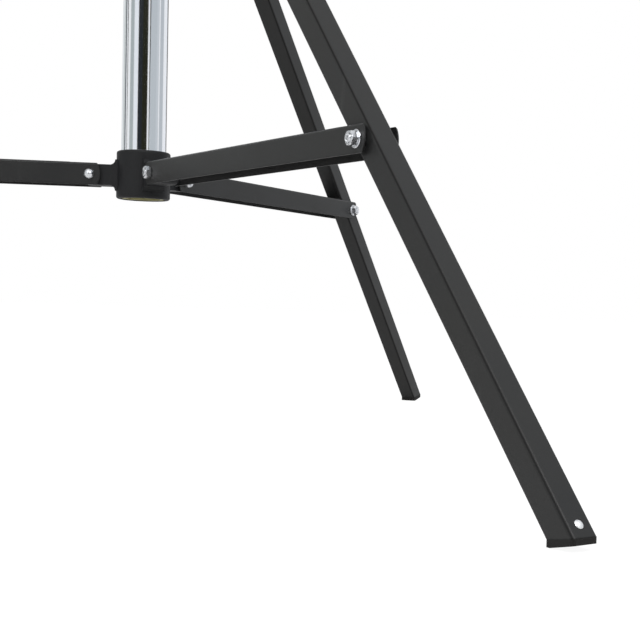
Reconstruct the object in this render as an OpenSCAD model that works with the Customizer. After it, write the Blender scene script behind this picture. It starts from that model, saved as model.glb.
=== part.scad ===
// Wind-up lighting stand: folding tripod base, chromed column, geared cable winch and two masts.
// The stand is drawn opened out on the floor with both masts lowered.

/* [Legs and braces] */
// Height of the brace pivots above the floor
pivot_z = 331.5; // [322:0.5:340]
// Distance of the hub pivots from the column axis
pivot_r = 64; // [62:1:68]
// Length of a brace between its two pivots
brace_len = 465.8; // [450:0.2:480]
// Slope of an opened leg above the floor, in degrees
leg_slope = 48.7; // [48:0.1:50]
// Width of a leg tube across the plane it folds in
leg_w = 26; // [25:0.5:27]
// Depth of a leg tube
leg_d = 27.6; // [27:0.1:28.5]
// Wall of a leg tube
leg_t = 2; // [1.5:0.1:2.2]
// Outer corner radius of a leg tube
leg_bend = 3.5; // [3:0.5:4.5]
// Length of a leg beyond its top pivot
leg_end = 14.6; // [13.5:0.1:16]
// Radius of the arc at a leg's top end
leg_end_round = 17.4; // [17:0.1:19]
// Distance of the leg pivots inward of the middle of the tube
leg_pivot_in = 2.3; // [2:0.1:2.6]
// Width of a brace channel across its web
brace_w = 38; // [37.5:0.5:40]
// Height of a brace channel
brace_h = 27.6; // [27:0.1:28.5]
// Height of a brace's top face above its pivots
brace_top = 14.2; // [14.2:0.1:14.6]
// Sheet thickness of a brace channel
brace_t = 1.5; // [1.2:0.1:1.8]
// Outer bend radius of a brace channel
brace_bend = 3; // [2.5:0.5:4]
// Length of a brace beyond each pivot
brace_end = 13.8; // [13:0.1:15]
// Radius of the arc at each end of a brace
brace_end_round = 23; // [19:1:27]
// Cut-back of the brace's web from the hub pivot
hub_notch = 24; // [23:1:30]
// Cut-back of the brace's web from the leg pivot
leg_notch = 31; // [30:1:38]

/* [Foot caps] */
// Thickness of the foot cap under the leg
cap_h = 5.2; // [4.6:0.2:7]
// Angle by which the cap's sole rises outward
sole_tilt = 10; // [8:0.5:12]
// Width of the strip at the sole's inner edge that lies on the floor
sole_strip = 6; // [5:0.5:8]
// Length of the cap's plug inside the leg
plug_len = 44; // [36:1:60]
// Height of the cap's rivet above the floor
rivet_z = 20; // [18:0.5:24]
// Diameter of the rivet's head
rivet_head_d = 8; // [7.6:0.2:9]
// Height of the rivet's head
rivet_head_h = 1.5; // [1:0.1:2]
// Diameter of the rivet's shank
rivet_d = 4.8; // [4:0.1:5]
// Length of the rivet's shank below the tube's face
rivet_len = 9; // [7:0.5:12]

/* [Column] */
// Outer diameter of the chromed column
column_d = 55; // [54.5:0.1:55.5]
// Wall of the column
column_t = 2; // [1.8:0.1:2.1]
// Depth of the column's lower end below the hub's pivot lines
column_tail = 25; // [23:0.5:26]
// Height of the column's upper end
column_high = 1920; // [1860:5:1980]
// Depth of the ring that closes the column's lower end
ring_h = 2.5; // [2:0.1:3]
// Diameter of the hole in that ring
ring_bore_d = 42; // [38:1:44]
// Length of the ring's spigot inside the column
ring_spigot = 12; // [8:1:20]

/* [Lower hub] */
// Outer diameter of the hub's collar
hub_d = 66; // [65:0.5:68]
// Depth of the collar below the pivots
hub_below = 28.5; // [27:0.5:30]
// Height of the collar above the pivots
hub_above = 31; // [30:0.5:33]
// Edge rounding of the collar
hub_edge = 3; // [2:0.5:4]
// Width of a lug
lug_w = 28; // [26:0.5:29]
// Height of a lug
lug_h = 25.6; // [24:0.2:26]
// Radius of the weld fillets between collar and lug
weld_r = 6.5; // [5:0.5:7.5]

/* [Upper hub] */
// Outer diameter of the upper hub's sleeve
slider_d = 72; // [71:0.5:74]
// Depth of the sleeve below the leg pivots
slider_below = 22; // [20:1:26]
// Height of the sleeve above the leg pivots
slider_above = 46; // [44:1:50]
// Wall of the nylon liner between sleeve and column
liner_t = 3; // [2.5:0.1:3.5]
// Thickness of a leg ear
ear_t = 6; // [5:0.5:7]
// Height of a leg ear
ear_h = 30; // [28:1:32]
// Reach of an ear beyond its pivot
ear_end = 13; // [12:0.5:14]
// Diameter of the clamp screws
clamp_screw_d = 10; // [8:0.5:12]
// Diameter of the clamp knobs
knob_d = 46; // [40:1:50]
// Thickness of the clamp knobs
knob_t = 18; // [16:1:22]
// Number of lobes round a clamp knob
knob_lobes = 6; // [5:1:8]

/* [Winch] */
// Depth of the drum axis below the column's upper end
drum_below = 115; // [110:1:120]
// Height of the crank axis above the drum axis
crank_rise = 33.94; // [33.9:0.01:34]
// Gear module
gear_module = 2; // [1.99:0.01:2.01]
// Teeth of the drum gear
gear_teeth = 36; // [36:1:36]
// Teeth of the crank pinion
pinion_teeth = 12; // [12:1:12]
// Pressure angle of the teeth, in degrees
pressure_angle = 25; // [24:0.5:26]
// Play between meshed teeth
backlash = 0.3; // [0.2:0.05:0.4]
// Face width of the drum gear
gear_t = 6; // [5:0.5:7]
// Gap between the winch's side plates
frame_gap = 64; // [62:1:68]
// Thickness of the winch's steel plate
frame_t = 3; // [2.5:0.1:3.5]
// Height of the winch frame
frame_h = 140; // [136:1:150]
// Reach of the winch's side plates in front of its back plate
frame_depth = 106; // [104:1:112]
// Radius of the rounded front corners of the side plates
frame_round = 22; // [16:1:26]
// Half length of the drum between its flanges
drum_half = 20; // [19.5:0.5:21]
// Diameter of the drum's flanges
flange_d = 62; // [58:1:66]
// Thickness of a drum flange
flange_t = 3; // [2:0.1:3.5]
// Diameter of the winch shafts
shaft_d = 12; // [11:0.5:13]
// Diameter of the brake disc
brake_d = 50; // [44:1:54]
// Thickness of the brake disc
brake_t = 4; // [3:0.5:5]
// Thickness of the brake pad
brake_pad_t = 4; // [3:0.5:5]
// Crank radius from shaft to grip
crank_len = 130; // [120:1:140]
// Thickness of the crank arm
crank_t = 6; // [5:0.5:7]
// Width of the crank arm
crank_w = 22; // [20:1:24]
// Length of the crank's grip
grip_len = 92; // [85:1:100]
// Largest diameter of the crank's grip
grip_d = 30; // [26:1:32]

/* [Hoist rope] */
// Diameter of the wire rope
rope_d = 3; // [2.6:0.1:3.2]
// Radius at which the rope's centre lies on the drum
drum_rope_r = 19.5; // [19.3:0.1:19.7]
// Distance of the rope's drop from the column axis
rope_drop_r = 23.25; // [23.2:0.05:23.3]
// Radius at which the rope's centre runs in the pulley
pulley_r = 16.1; // [16:0.05:16.3]
// Safety turns that stay on the drum
rope_turns = 4; // [3:1:4]
// Sideways step from turn to turn
rope_pitch = 3.5; // [3.4:0.05:3.6]
// Height of the pulley axis above the column's end
pulley_rise = 27; // [26:0.5:29]
// Diameter of the pulley's flanges
pulley_d = 35; // [34.6:0.1:35.2]
// Thickness of the pulley
pulley_t = 7; // [6.5:0.1:7.2]
// Diameter of the pulley's pin
pulley_pin_d = 6; // [5:0.5:7]

/* [Masts] */
// Outer diameter of the middle mast
middle_d = 42; // [41.8:0.1:42.2]
// Wall of the middle mast
middle_t = 2; // [1.8:0.1:2]
// Height of the middle mast's lower end above the column's lower end
middle_start = 123.5; // [110:0.5:135]
// Height of the middle mast's upper end above the column's upper end
middle_above = 105; // [100:1:114]
// Outer diameter of the top mast
top_d = 35; // [34.8:0.1:35.2]
// Wall of the top mast
top_t = 1.5; // [1.2:0.1:2]
// Height of the top mast's lower end above the middle mast's lower end
top_start = 130; // [110:1:170]
// Height of the top mast's upper end above the middle mast's upper end
top_above = 65; // [61:1:79]
// Length of the sliders at the lower ends of the masts
mast_slider_h = 40; // [36:1:46]
// Outer diameter of the middle mast's clamp collar
collar_d = 58; // [56:1:62]
// Height of the clamp collar
collar_h = 58; // [54:1:62]
// Length of the clamp collar above the middle mast's end
collar_above = 24; // [22:1:27]

/* [Top fitting] */
// Diameter of the socket for a light's spigot
socket_bore_d = 28.6; // [28:0.1:29]
// Outer diameter of the socket
socket_d = 46; // [44:1:50]
// Height of the socket casting above the top mast's end
socket_h = 66; // [62:1:72]
// Depth of the socket's bore
socket_depth = 58; // [54:1:58]
// Length of the top mast held inside the casting
socket_grip = 30; // [26:1:34]

/* [Fasteners] */
// Diameter of the pivot bolts
bolt_d = 8; // [7:0.5:8]
// Diameter of the bolts' domed heads
bolt_head_d = 12.6; // [11.6:0.2:13.4]
// Height of the bolts' domed heads
bolt_head_h = 4.5; // [4:0.1:5]
// Width across the flats of the nuts
nut_flats = 13; // [12:0.5:14]
// Height of the nuts
nut_h = 7; // [6:0.5:8]
// Diameter of the washers
washer_d = 17.4; // [16:0.2:18]
// Thickness of the washers
washer_t = 1.6; // [1.2:0.1:2]

/* [Fits] */
// Radial play of a pin or shaft that turns in its hole
pin_play = 0.06; // [0.04:0.01:0.09]
// Radial play of pieces that are seated in one another
seat_play = 0.05; // [0.03:0.01:0.08]
// Gap between pieces that slide past one another
slide_gap = 0.3; // [0.25:0.05:0.35]

/* [Hidden] */

overrun = 1;
crown_share = 0.06;
fine = 96;
small = 48;

// Azimuths of the three legs and of the winch about the column
leg_turn = 120;
first_leg_azimuth = 90;
winch_azimuth = 270;
function leg_azimuth(k) = first_leg_azimuth + leg_turn*(k - 1);

// Places of the tube's inner and outer face about the leg's pivot line
leg_inner_x = leg_pivot_in - leg_d/2;
leg_outer_x = leg_pivot_in + leg_d/2;
// Distance along a leg between its two pivots, which both hubs hold at one radius
leg_reach = brace_len/cos(leg_slope);
slider_z = pivot_z + leg_reach*sin(leg_slope);
// Distance along a leg from the brace pivot to the floor, on its outer face
foot_outer = (pivot_z + leg_outer_x*cos(leg_slope))/sin(leg_slope);
// Distance from the column axis to a leg's inner or outer face, at a height above the floor
function face_r(x, z) = pivot_r + brace_len + x/sin(leg_slope) + (pivot_z - z)/tan(leg_slope);
// The leg is cut along the sole: radius and height of the cut on the inner and outer face
cut_in_r = face_r(leg_inner_x, cap_h);
cut_out_z = (cap_h + (face_r(leg_outer_x, 0) - cut_in_r)*tan(sole_tilt))/(1 + tan(sole_tilt)/tan(leg_slope));
cut_out_r = face_r(leg_outer_x, cut_out_z);
// Greatest radius of the feet, and the shift that centres the footprint's box on the origin
foot_r = cut_out_r;
foot_back = foot_r*sin(leg_turn - first_leg_azimuth) + leg_w/2*cos(leg_turn - first_leg_azimuth);
axis_y = -(foot_r - foot_back)/2;

column_r = column_d/2;
column_bore_r = column_r - column_t;
column_low = pivot_z - column_tail;
middle_r = middle_d/2;
middle_low = column_low + middle_start;
middle_high = column_high + middle_above;
top_r = top_d/2;
top_low = middle_low + top_start;
top_high = middle_high + top_above;
brace_slack = (brace_w/2 - brace_t) - leg_w/2;

// Winch layout: the rope leaves the drum on the column side and rises to the pulley
pulley_y = rope_drop_r + pulley_r;
riser_y = rope_drop_r + 2*pulley_r;
drum_y = riser_y + drum_rope_r;
pulley_z = column_high + pulley_rise;
drum_z = column_high - drum_below;
gear_r = gear_module*gear_teeth/2;
pinion_r = gear_module*pinion_teeth/2;
crank_forward = sqrt(pow(gear_r + pinion_r, 2) - pow(crank_rise, 2));
crank_y = drum_y + crank_forward;
crank_z = drum_z + crank_rise;

// Blacks, metals and plastics
steel_black = "#3a3b3d";
plastic_black = "#28282a";
chrome = "#d8dade";
zinc = "#c6c8cc";
cast_grey = "#45474a";
brass_yellow = "#a39a5e";

module on_axis() translate([0, axis_y, 0]) children();
module at_leg(k) on_axis() rotate([0, 0, leg_azimuth(k)]) children();
// Frame of a brace: origin at its hub pivot, X outward along the brace
module brace_frame(k) at_leg(k) translate([pivot_r, 0, pivot_z]) children();
// Frame of a leg: origin at its brace pivot, Z up along the leg, X out of its outer face
module leg_frame(k) brace_frame(k) translate([brace_len, 0, 0]) rotate([0, leg_slope - 90, 0]) children();
// Frame of the winch: Y is the distance in front of the column axis, X along the shafts
module winch_side() on_axis() mirror([0, 1, 0]) children();

// Block outline, open side at x = 0, its two far corners rounded
module web_block(width, depth, bend) {
    translate([0, -width/2]) square([depth - bend, width]);
    translate([0, bend - width/2]) square([depth, width - 2*bend]);
    for (s = [-1, 1]) translate([depth - bend, s*(width/2 - bend)]) circle(r = bend, $fn = small);
}

// Block outline with four rounded corners, one side at x = 0
module tube_block(width, depth, bend) {
    translate([bend, -width/2]) square([depth - 2*bend, width]);
    translate([0, bend - width/2]) square([depth, width - 2*bend]);
    for (x = [bend, depth - bend]) for (s = [-1, 1]) translate([x, s*(width/2 - bend)])
        circle(r = bend, $fn = small);
}

module tube_profile(width, depth, wall, bend) {
    difference() {
        tube_block(width, depth, bend);
        translate([wall, 0]) tube_block(width - 2*wall, depth - 2*wall, bend - wall);
    }
}

module channel_profile(width, depth, wall, bend) {
    difference() {
        web_block(width, depth, bend);
        translate([-overrun, 0]) web_block(width - 2*wall, depth - wall + overrun, bend - wall);
    }
}

// Round bar or bore along Y, centred on the origin
module cross_bar(r, length) rotate([90, 0, 0]) cylinder(r = r, h = length, center = true, $fn = small);
// Round bar or bore along X, starting at the origin
module x_bar(r, length) rotate([0, 90, 0]) cylinder(r = r, h = length, $fn = fine);

module ring(outer_r, inner_r, height) {
    difference() {
        cylinder(r = outer_r, h = height, $fn = fine);
        translate([0, 0, -overrun]) cylinder(r = inner_r, h = height + 2*overrun, $fn = fine);
    }
}

// Sleeve turned about Z with rounded rims
module rimmed_ring(outer_r, inner_r, height, edge) {
    rotate_extrude($fn = fine) difference() {
        union() {
            translate([inner_r, 0]) square([outer_r - edge - inner_r, height]);
            translate([inner_r, edge]) square([outer_r - inner_r, height - 2*edge]);
            for (z = [edge, height - edge]) translate([outer_r - edge, z]) circle(r = edge, $fn = small);
        }
        translate([inner_r - 2*edge, -overrun]) square([2*edge, height + 2*overrun]);
    }
}

// Everything under a leg's cut, or under a plane that lies lower by the given depth
module under_cut(k, depth) {
    reach = 2*foot_r;
    at_leg(k) translate([cut_in_r, 0, cap_h - depth]) rotate([0, -sole_tilt, 0])
        translate([-reach, -reach, -reach]) cube([2*reach, 2*reach, reach]);
}

// Domed head on the XY plane, its crown ground to a small flat
module domed_head(r, height) {
    crown = height*(1 + crown_share);
    dome_r = (r*r + crown*crown)/(2*crown);
    rotate_extrude($fn = small) intersection() {
        translate([0, crown - dome_r]) circle(r = dome_r, $fn = fine);
        square([r, height]);
    }
}

// Domed bolt along +Y: the head's seat is at the origin, the shank runs toward -Y
module domed_bolt(length) {
    rotate([-90, 0, 0]) {
        domed_head(bolt_head_d/2, bolt_head_h);
        translate([0, 0, -length]) cylinder(d = bolt_d, h = length, $fn = small);
    }
}

// Nut and washer toward -Y, seated at the origin, bored for the bolt
module plain_nut(seat) {
    rotate([90, 0, 0]) translate([0, 0, seat]) difference() {
        cylinder(d = nut_flats/cos(30), h = nut_h, $fn = 6);
        translate([0, 0, -overrun]) cylinder(r = bolt_d/2 + seat_play, h = nut_h + 2*overrun, $fn = small);
    }
}

module nut_and_washer() {
    rotate([90, 0, 0]) ring(washer_d/2, bolt_d/2 + seat_play, washer_t);
    plain_nut(washer_t);
}

bolt_tip = 1;
hub_bolt_len = brace_w + slide_gap + nut_h + bolt_tip;
brace_bolt_len = brace_w + washer_t + nut_h + bolt_tip;

// Column and its end ring

module outer_column() {
    color(chrome) on_axis() translate([0, 0, column_low])
        ring(column_r, column_bore_r, column_high - column_low);
}

module column_end_ring() {
    color(brass_yellow) on_axis() translate([0, 0, column_low]) {
        translate([0, 0, -ring_h]) ring(column_r - seat_play, ring_bore_d/2, ring_h);
        ring(column_bore_r - seat_play, ring_bore_d/2, ring_spigot);
    }
}

// Lower hub with its three lugs

module weld_fillet(width) {
    rotate([90, 0, 0]) translate([0, 0, -width/2]) linear_extrude(width) difference() {
        translate([-weld_r, 0]) square([2*weld_r, weld_r]);
        translate([weld_r, weld_r]) circle(r = weld_r, $fn = small);
    }
}

module lower_hub() {
    wall_r = hub_d/2;
    root_in = wall_r - 2*hub_edge;
    color(cast_grey) {
        difference() {
            union() {
                on_axis() translate([0, 0, pivot_z - hub_below])
                    rimmed_ring(wall_r, column_r + seat_play, hub_below + hub_above, hub_edge);
                for (k = [1:3]) at_leg(k) translate([0, 0, pivot_z]) {
                    translate([root_in, -lug_w/2, -lug_h/2]) cube([pivot_r - root_in, lug_w, lug_h]);
                    translate([pivot_r, 0, 0]) cross_bar(lug_h/2, lug_w);
                    for (s = [0, 1]) mirror([0, 0, s])
                        translate([wall_r, 0, lug_h/2]) weld_fillet(lug_w);
                }
            }
            for (k = [1:3]) brace_frame(k) cross_bar(bolt_d/2 + pin_play, lug_w + 2*overrun);
            on_axis() translate([0, 0, pivot_z - hub_below - overrun])
                cylinder(r = column_r + seat_play, h = hub_below + hub_above + 2*overrun, $fn = fine);
        }
    }
}

module hub_bolts() {
    color(zinc) for (k = [1:3]) brace_frame(k) translate([0, brace_w/2 + slide_gap, 0]) {
        domed_bolt(hub_bolt_len + slide_gap);
    }
}

module hub_nuts() {
    color(zinc) for (k = [1:3]) brace_frame(k) {
        translate([0, -brace_w/2 - slide_gap, 0]) plain_nut(0);
        for (s = [0, 1]) mirror([0, s, 0]) translate([0, lug_w/2, 0]) hub_spacer();
    }
}

// Spacer tube between lug and brace wall
module hub_spacer() {
    gap = brace_w/2 - brace_t - lug_w/2 - slide_gap;
    rotate([-90, 0, 0]) ring(bolt_d, bolt_d/2 + seat_play, gap);
}

// Braces

module brace_outline() {
    middle = brace_top - brace_h/2;
    span = brace_len + 2*(brace_end - brace_end_round);
    translate([brace_end_round - brace_end, middle - brace_h]) square([span, 2*brace_h]);
    for (x = [0, span]) translate([x + brace_end_round - brace_end, middle])
        circle(r = brace_end_round, $fn = fine);
}

module brace(k) {
    inner_w = brace_w - 2*brace_t;
    color(steel_black) brace_frame(k) difference() {
        intersection() {
            translate([brace_len + brace_end, 0, brace_top - brace_h]) rotate([0, -90, 0])
                linear_extrude(brace_len + 2*brace_end)
                    channel_profile(brace_w, brace_h, brace_t, brace_bend);
            rotate([90, 0, 0]) translate([0, 0, -brace_w]) linear_extrude(2*brace_w) brace_outline();
        }
        for (x = [0, brace_len]) translate([x, 0, 0]) cross_bar(bolt_d/2 + pin_play, brace_w + 2*overrun);
        translate([-brace_end - overrun, -inner_w/2, 0])
            cube([brace_end + overrun + hub_notch, inner_w, brace_top + overrun]);
        translate([brace_len - leg_notch, -inner_w/2, 0])
            cube([leg_notch + brace_end + overrun, inner_w, brace_top + overrun]);
    }
}

module brace_1() brace(1);
module brace_2() brace(2);
module brace_3() brace(3);

// Bolt, nut, washer and spacers that join a brace to its leg
module leg_bolt(k) {
    color(zinc) brace_frame(k) translate([brace_len, 0, 0]) {
        translate([0, brace_w/2, 0]) domed_bolt(brace_bolt_len);
        translate([0, -brace_w/2, 0]) nut_and_washer();
        for (s = [0, 1]) mirror([0, s, 0]) translate([0, leg_w/2 + slide_gap, 0])
            rotate([-90, 0, 0]) ring(bolt_d, bolt_d/2 + seat_play, brace_slack - slide_gap);
    }
}

module leg_bolt_1() leg_bolt(1);
module leg_bolt_2() leg_bolt(2);
module leg_bolt_3() leg_bolt(3);

// Legs

module leg(k) {
    bar = foot_outer + leg_reach + leg_end;
    color(steel_black) difference() {
        leg_frame(k) difference() {
            intersection() {
                translate([leg_inner_x, 0, -foot_outer]) linear_extrude(bar)
                    tube_profile(leg_w, leg_d, leg_t, leg_bend);
                union() {
                    translate([leg_inner_x - overrun, -leg_w, -foot_outer])
                        cube([leg_d + 2*overrun, 2*leg_w, foot_outer + leg_reach + leg_end - leg_end_round]);
                    translate([leg_pivot_in, 0, leg_reach + leg_end - leg_end_round])
                        cross_bar(leg_end_round, 2*leg_w);
                }
            }
            for (z = [0, leg_reach]) translate([0, 0, z])
                cross_bar(bolt_d/2 + pin_play, leg_w + 2*overrun);
            translate([0, 0, -rivet_along()]) x_bar(rivet_d/2 + seat_play, leg_outer_x + overrun);
        }
        under_cut(k, 0);
    }
}

// Distance of the rivet down the leg from the brace pivot
function rivet_along() = (pivot_z + leg_outer_x*cos(leg_slope) - rivet_z)/sin(leg_slope);

module leg_1() leg(1);
module leg_2() leg(2);
module leg_3() leg(3);

// Plastic cap: a sole with upright walls under the leg's cut end, and a hollow plug up inside the tube
module foot_cap(k) {
    plug_in = leg_t + seat_play;
    plug_bend = leg_bend - leg_t;
    plug_wall = 1.5*leg_t;
    color(plastic_black) difference() {
        union() {
            at_leg(k) intersection() {
                translate([cut_in_r, 0, 0]) linear_extrude(cut_out_z)
                    tube_block(leg_w, cut_out_r - cut_in_r, leg_bend);
                rotate([90, 0, 0]) translate([0, 0, -leg_w]) linear_extrude(2*leg_w)
                    polygon([[cut_in_r, 0], [cut_in_r + sole_strip, 0], [cut_out_r, cut_out_z - cap_h],
                        [cut_out_r, cut_out_z], [cut_in_r, cap_h]]);
            }
            difference() {
                leg_frame(k) translate([leg_inner_x + plug_in, 0, -foot_outer]) linear_extrude(plug_len)
                    tube_block(leg_w - 2*plug_in, leg_d - 2*plug_in, plug_bend);
                under_cut(k, cap_h/2);
            }
        }
        difference() {
            leg_frame(k) translate([leg_inner_x + plug_in + plug_wall, 0, -foot_outer])
                linear_extrude(plug_len + overrun) translate([0, plug_in + plug_wall - leg_w/2])
                    square([leg_d - 2*plug_in - 2*plug_wall, leg_w - 2*plug_in - 2*plug_wall]);
            under_cut(k, -plug_wall);
        }
        leg_frame(k) translate([0, 0, -rivet_along()]) x_bar(rivet_d/2 + seat_play, leg_outer_x + overrun);
    }
}

module foot_cap_1() foot_cap(1);
module foot_cap_2() foot_cap(2);
module foot_cap_3() foot_cap(3);

module foot_rivet(k) {
    color(zinc) leg_frame(k) translate([leg_outer_x, 0, -rivet_along()]) rotate([0, 90, 0]) {
        domed_head(rivet_head_d/2, rivet_head_h);
        translate([0, 0, -rivet_len]) cylinder(d = rivet_d, h = rivet_len, $fn = small);
    }
}

module foot_rivet_1() foot_rivet(1);
module foot_rivet_2() foot_rivet(2);
module foot_rivet_3() foot_rivet(3);

// Upper hub: liner, sleeve with three pairs of ears, pivot bolts and clamp knob

slider_bore_r = column_r + slide_gap;
slider_r = slider_d/2;
boss_r = clamp_screw_d;
hub_knob_z = slider_z + slider_above - boss_r - hub_edge;
ear_in = leg_w/2 + slide_gap + seat_play;

// Screw with a lobed knob: the screw's tip is at the origin, the knob lies toward +X
module knob_screw(reach) {
    lobe_r = knob_d*PI/(knob_lobes*4);
    hub_r = knob_d/2 - lobe_r;
    collar_t = knob_t/3;
    x_bar(clamp_screw_d/2, reach + collar_t);
    translate([reach, 0, 0]) x_bar(clamp_screw_d*0.8, collar_t);
    translate([reach + collar_t, 0, 0]) rotate([0, 90, 0]) linear_extrude(knob_t - collar_t) union() {
        circle(r = hub_r, $fn = fine);
        for (i = [1:knob_lobes]) rotate(i*360/knob_lobes) translate([hub_r - lobe_r/4, 0])
            circle(r = lobe_r, $fn = small);
    }
}

module hub_liner() {
    color(plastic_black) on_axis() translate([0, 0, slider_z - slider_below]) difference() {
        rimmed_ring(slider_bore_r + liner_t, slider_bore_r, slider_below + slider_above, liner_t/3);
        translate([0, 0, hub_knob_z - slider_z + slider_below]) rotate([0, 0, winch_azimuth])
            x_bar(clamp_screw_d/2 + slide_gap, slider_d);
    }
}

module upper_hub() {
    bore = slider_bore_r + liner_t + seat_play;
    root_in = bore + seat_play;
    color(cast_grey) difference() {
        union() {
            on_axis() translate([0, 0, slider_z - slider_below])
                rimmed_ring(slider_r, bore, slider_below + slider_above, hub_edge);
            for (k = [1:3]) at_leg(k) translate([0, 0, slider_z]) for (s = [0, 1]) mirror([0, s, 0]) {
                translate([root_in, ear_in, -ear_h/2]) cube([pivot_r - root_in, ear_t, ear_h]);
                translate([pivot_r, ear_in + ear_t/2, 0]) intersection() {
                    cross_bar(ear_h/2, ear_t);
                    translate([-ear_h, -ear_t, -ear_h]) cube([ear_h + ear_end, 2*ear_t, 2*ear_h]);
                }
            }
            on_axis() translate([0, 0, hub_knob_z]) rotate([0, 0, winch_azimuth])
                x_bar(boss_r, slider_r + clamp_screw_d/2);
        }
        for (k = [1:3]) at_leg(k) translate([pivot_r, 0, slider_z])
            cross_bar(bolt_d/2 + seat_play, 2*(ear_in + ear_t + overrun));
        on_axis() translate([0, 0, slider_z - slider_below - overrun])
            cylinder(r = bore, h = slider_below + slider_above + 2*overrun, $fn = fine);
        on_axis() translate([0, 0, hub_knob_z]) rotate([0, 0, winch_azimuth])
            x_bar(clamp_screw_d/2 + pin_play, slider_d);
    }
}

// The pivot bolts show as stubs, so that the leg's top can leave the ears while the stand folds
module upper_hub_bolts() {
    color(zinc) for (k = [1:3]) at_leg(k) translate([pivot_r, 0, slider_z]) {
        translate([0, ear_in + ear_t, 0]) domed_bolt(ear_t);
        translate([0, -ear_in - ear_t, 0]) {
            nut_and_washer();
            rotate([90, 0, 0]) translate([0, 0, -ear_t])
                cylinder(d = bolt_d, h = ear_t + washer_t + nut_h + bolt_tip, $fn = small);
        }
    }
}

module hub_clamp_knob() {
    color(plastic_black) on_axis() translate([0, 0, hub_knob_z]) rotate([0, 0, winch_azimuth])
        translate([column_r + slide_gap, 0, 0]) knob_screw(slider_r + clamp_screw_d - column_r);
}

// Winch frame, saddle and bolts

frame_w = frame_gap + 2*frame_t;
saddle_t = 8;
frame_back = column_r + saddle_t/2;
drum_share = 0.42;
frame_low = drum_z - frame_h*drum_share;
saddle_bolt_x = frame_w/2 + washer_d/2 + slide_gap;
saddle_w = 2*saddle_bolt_x + washer_d;
saddle_h = 30;
saddle_lift = 20;
saddle_heights = [frame_low + saddle_lift, frame_low + frame_h - saddle_lift - saddle_h];
column_gap = 0.3;

module side_plate_outline() {
    square([frame_depth - frame_round, frame_h]);
    translate([0, frame_round]) square([frame_depth, frame_h - 2*frame_round]);
    for (z = [frame_round, frame_h - frame_round]) translate([frame_depth - frame_round, z])
        circle(r = frame_round, $fn = fine);
}

module winch_frame() {
    color(steel_black) winch_side() difference() {
        union() {
            translate([-saddle_w/2, frame_back, frame_low]) cube([saddle_w, frame_t, frame_h]);
            for (s = [0, 1]) mirror([s, 0, 0]) translate([frame_gap/2, frame_back, frame_low])
                rotate([90, 0, 90]) linear_extrude(frame_t) side_plate_outline();
        }
        for (axis = [[drum_y, drum_z], [crank_y, crank_z]])
            translate([-frame_w, axis[0], axis[1]]) x_bar(shaft_d/2 + pin_play, 2*frame_w);
        for (z = saddle_heights) for (x = [-saddle_bolt_x, saddle_bolt_x])
            translate([x, frame_back, z + saddle_h/2])
                cross_bar(bolt_d/2 + seat_play, 4*frame_t);
    }
}

// Two saddle blocks, cut to the column in front and behind
module winch_saddle() {
    color(cast_grey) on_axis() for (z = saddle_heights) translate([0, 0, z]) difference() {
        union() {
            translate([-saddle_w/2, -frame_back, 0])
                cube([saddle_w, frame_back - column_gap, saddle_h]);
            translate([-saddle_w/2, column_gap, 0]) cube([saddle_w, frame_back - column_gap, saddle_h]);
        }
        translate([0, 0, -overrun])
            cylinder(r = column_r + seat_play, h = saddle_h + 2*overrun, $fn = fine);
        for (x = [-saddle_bolt_x, saddle_bolt_x]) translate([x, 0, saddle_h/2])
            cross_bar(bolt_d/2 + seat_play, 2*frame_back + 2*overrun);
    }
}

module winch_bolts() {
    grip = 2*frame_back + frame_t;
    color(zinc) on_axis() for (z = saddle_heights) for (x = [-saddle_bolt_x, saddle_bolt_x])
        translate([x, 0, z + saddle_h/2]) {
            translate([0, frame_back, 0]) domed_bolt(grip + washer_t + nut_h + bolt_tip);
            translate([0, -frame_back - frame_t, 0]) nut_and_washer();
        }
}

// Gears with involute flanks

function involute_point(base_r, t) = [base_r*(cos(t) + t*PI/180*sin(t)), base_r*(sin(t) - t*PI/180*cos(t))];
function involute_angle(base_r, r) = r <= base_r ? 0 : sqrt(pow(r/base_r, 2) - 1)*180/PI;
function turned(p, a) = [p[0]*cos(a) - p[1]*sin(a), p[0]*sin(a) + p[1]*cos(a)];

// Outline of one tooth flank, from root to tip, on the side of positive angles
function flank(pitch_r, base_r, root_r, tip_r, half_angle) =
    let (start_r = max(base_r, root_r),
        pitch_t = involute_angle(base_r, pitch_r),
        pitch_p = involute_point(base_r, pitch_t),
        lead = atan2(pitch_p[1], pitch_p[0]),
        steps = 5)
    concat(root_r < base_r ? [turned([root_r, 0], -(half_angle + lead))] : [],
        [for (i = [0:steps])
            let (r = start_r + (tip_r - start_r)*i/steps)
            turned(involute_point(base_r, involute_angle(base_r, r)), -(half_angle + lead))]);

module spur_gear_outline(teeth) {
    pitch_r = gear_module*teeth/2;
    base_r = pitch_r*cos(pressure_angle);
    root_r = pitch_r - 1.25*gear_module;
    tip_r = pitch_r + gear_module;
    half_angle = (PI*gear_module/2 - backlash/2)/pitch_r*90/PI;
    side = flank(pitch_r, base_r, root_r, tip_r, half_angle);
    tooth = concat(side, [for (i = [len(side) - 1:-1:0]) [side[i][0], -side[i][1]]]);
    polygon([for (n = [0:teeth - 1]) for (p = tooth) turned(p, n*360/teeth)]);
}

// Line from drum to crank, seen along the shafts, and the pinion's phase on it
mesh_angle = atan2(crank_rise, crank_forward);
gear_turn = mesh_angle;
pinion_turn = mesh_angle + 180 + 180/pinion_teeth;
gear_x = drum_half + flange_t + slide_gap;

// Turns a flat outline in the winch's Y and Z into a plate along X
module winch_plate(x, thickness) translate([x, 0, 0]) rotate([90, 0, 90]) linear_extrude(thickness) children();

// Drum, its gear, axle and rope

drum_core_r = drum_rope_r - rope_d/2 - slide_gap;
flange_holes = 5;

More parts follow.
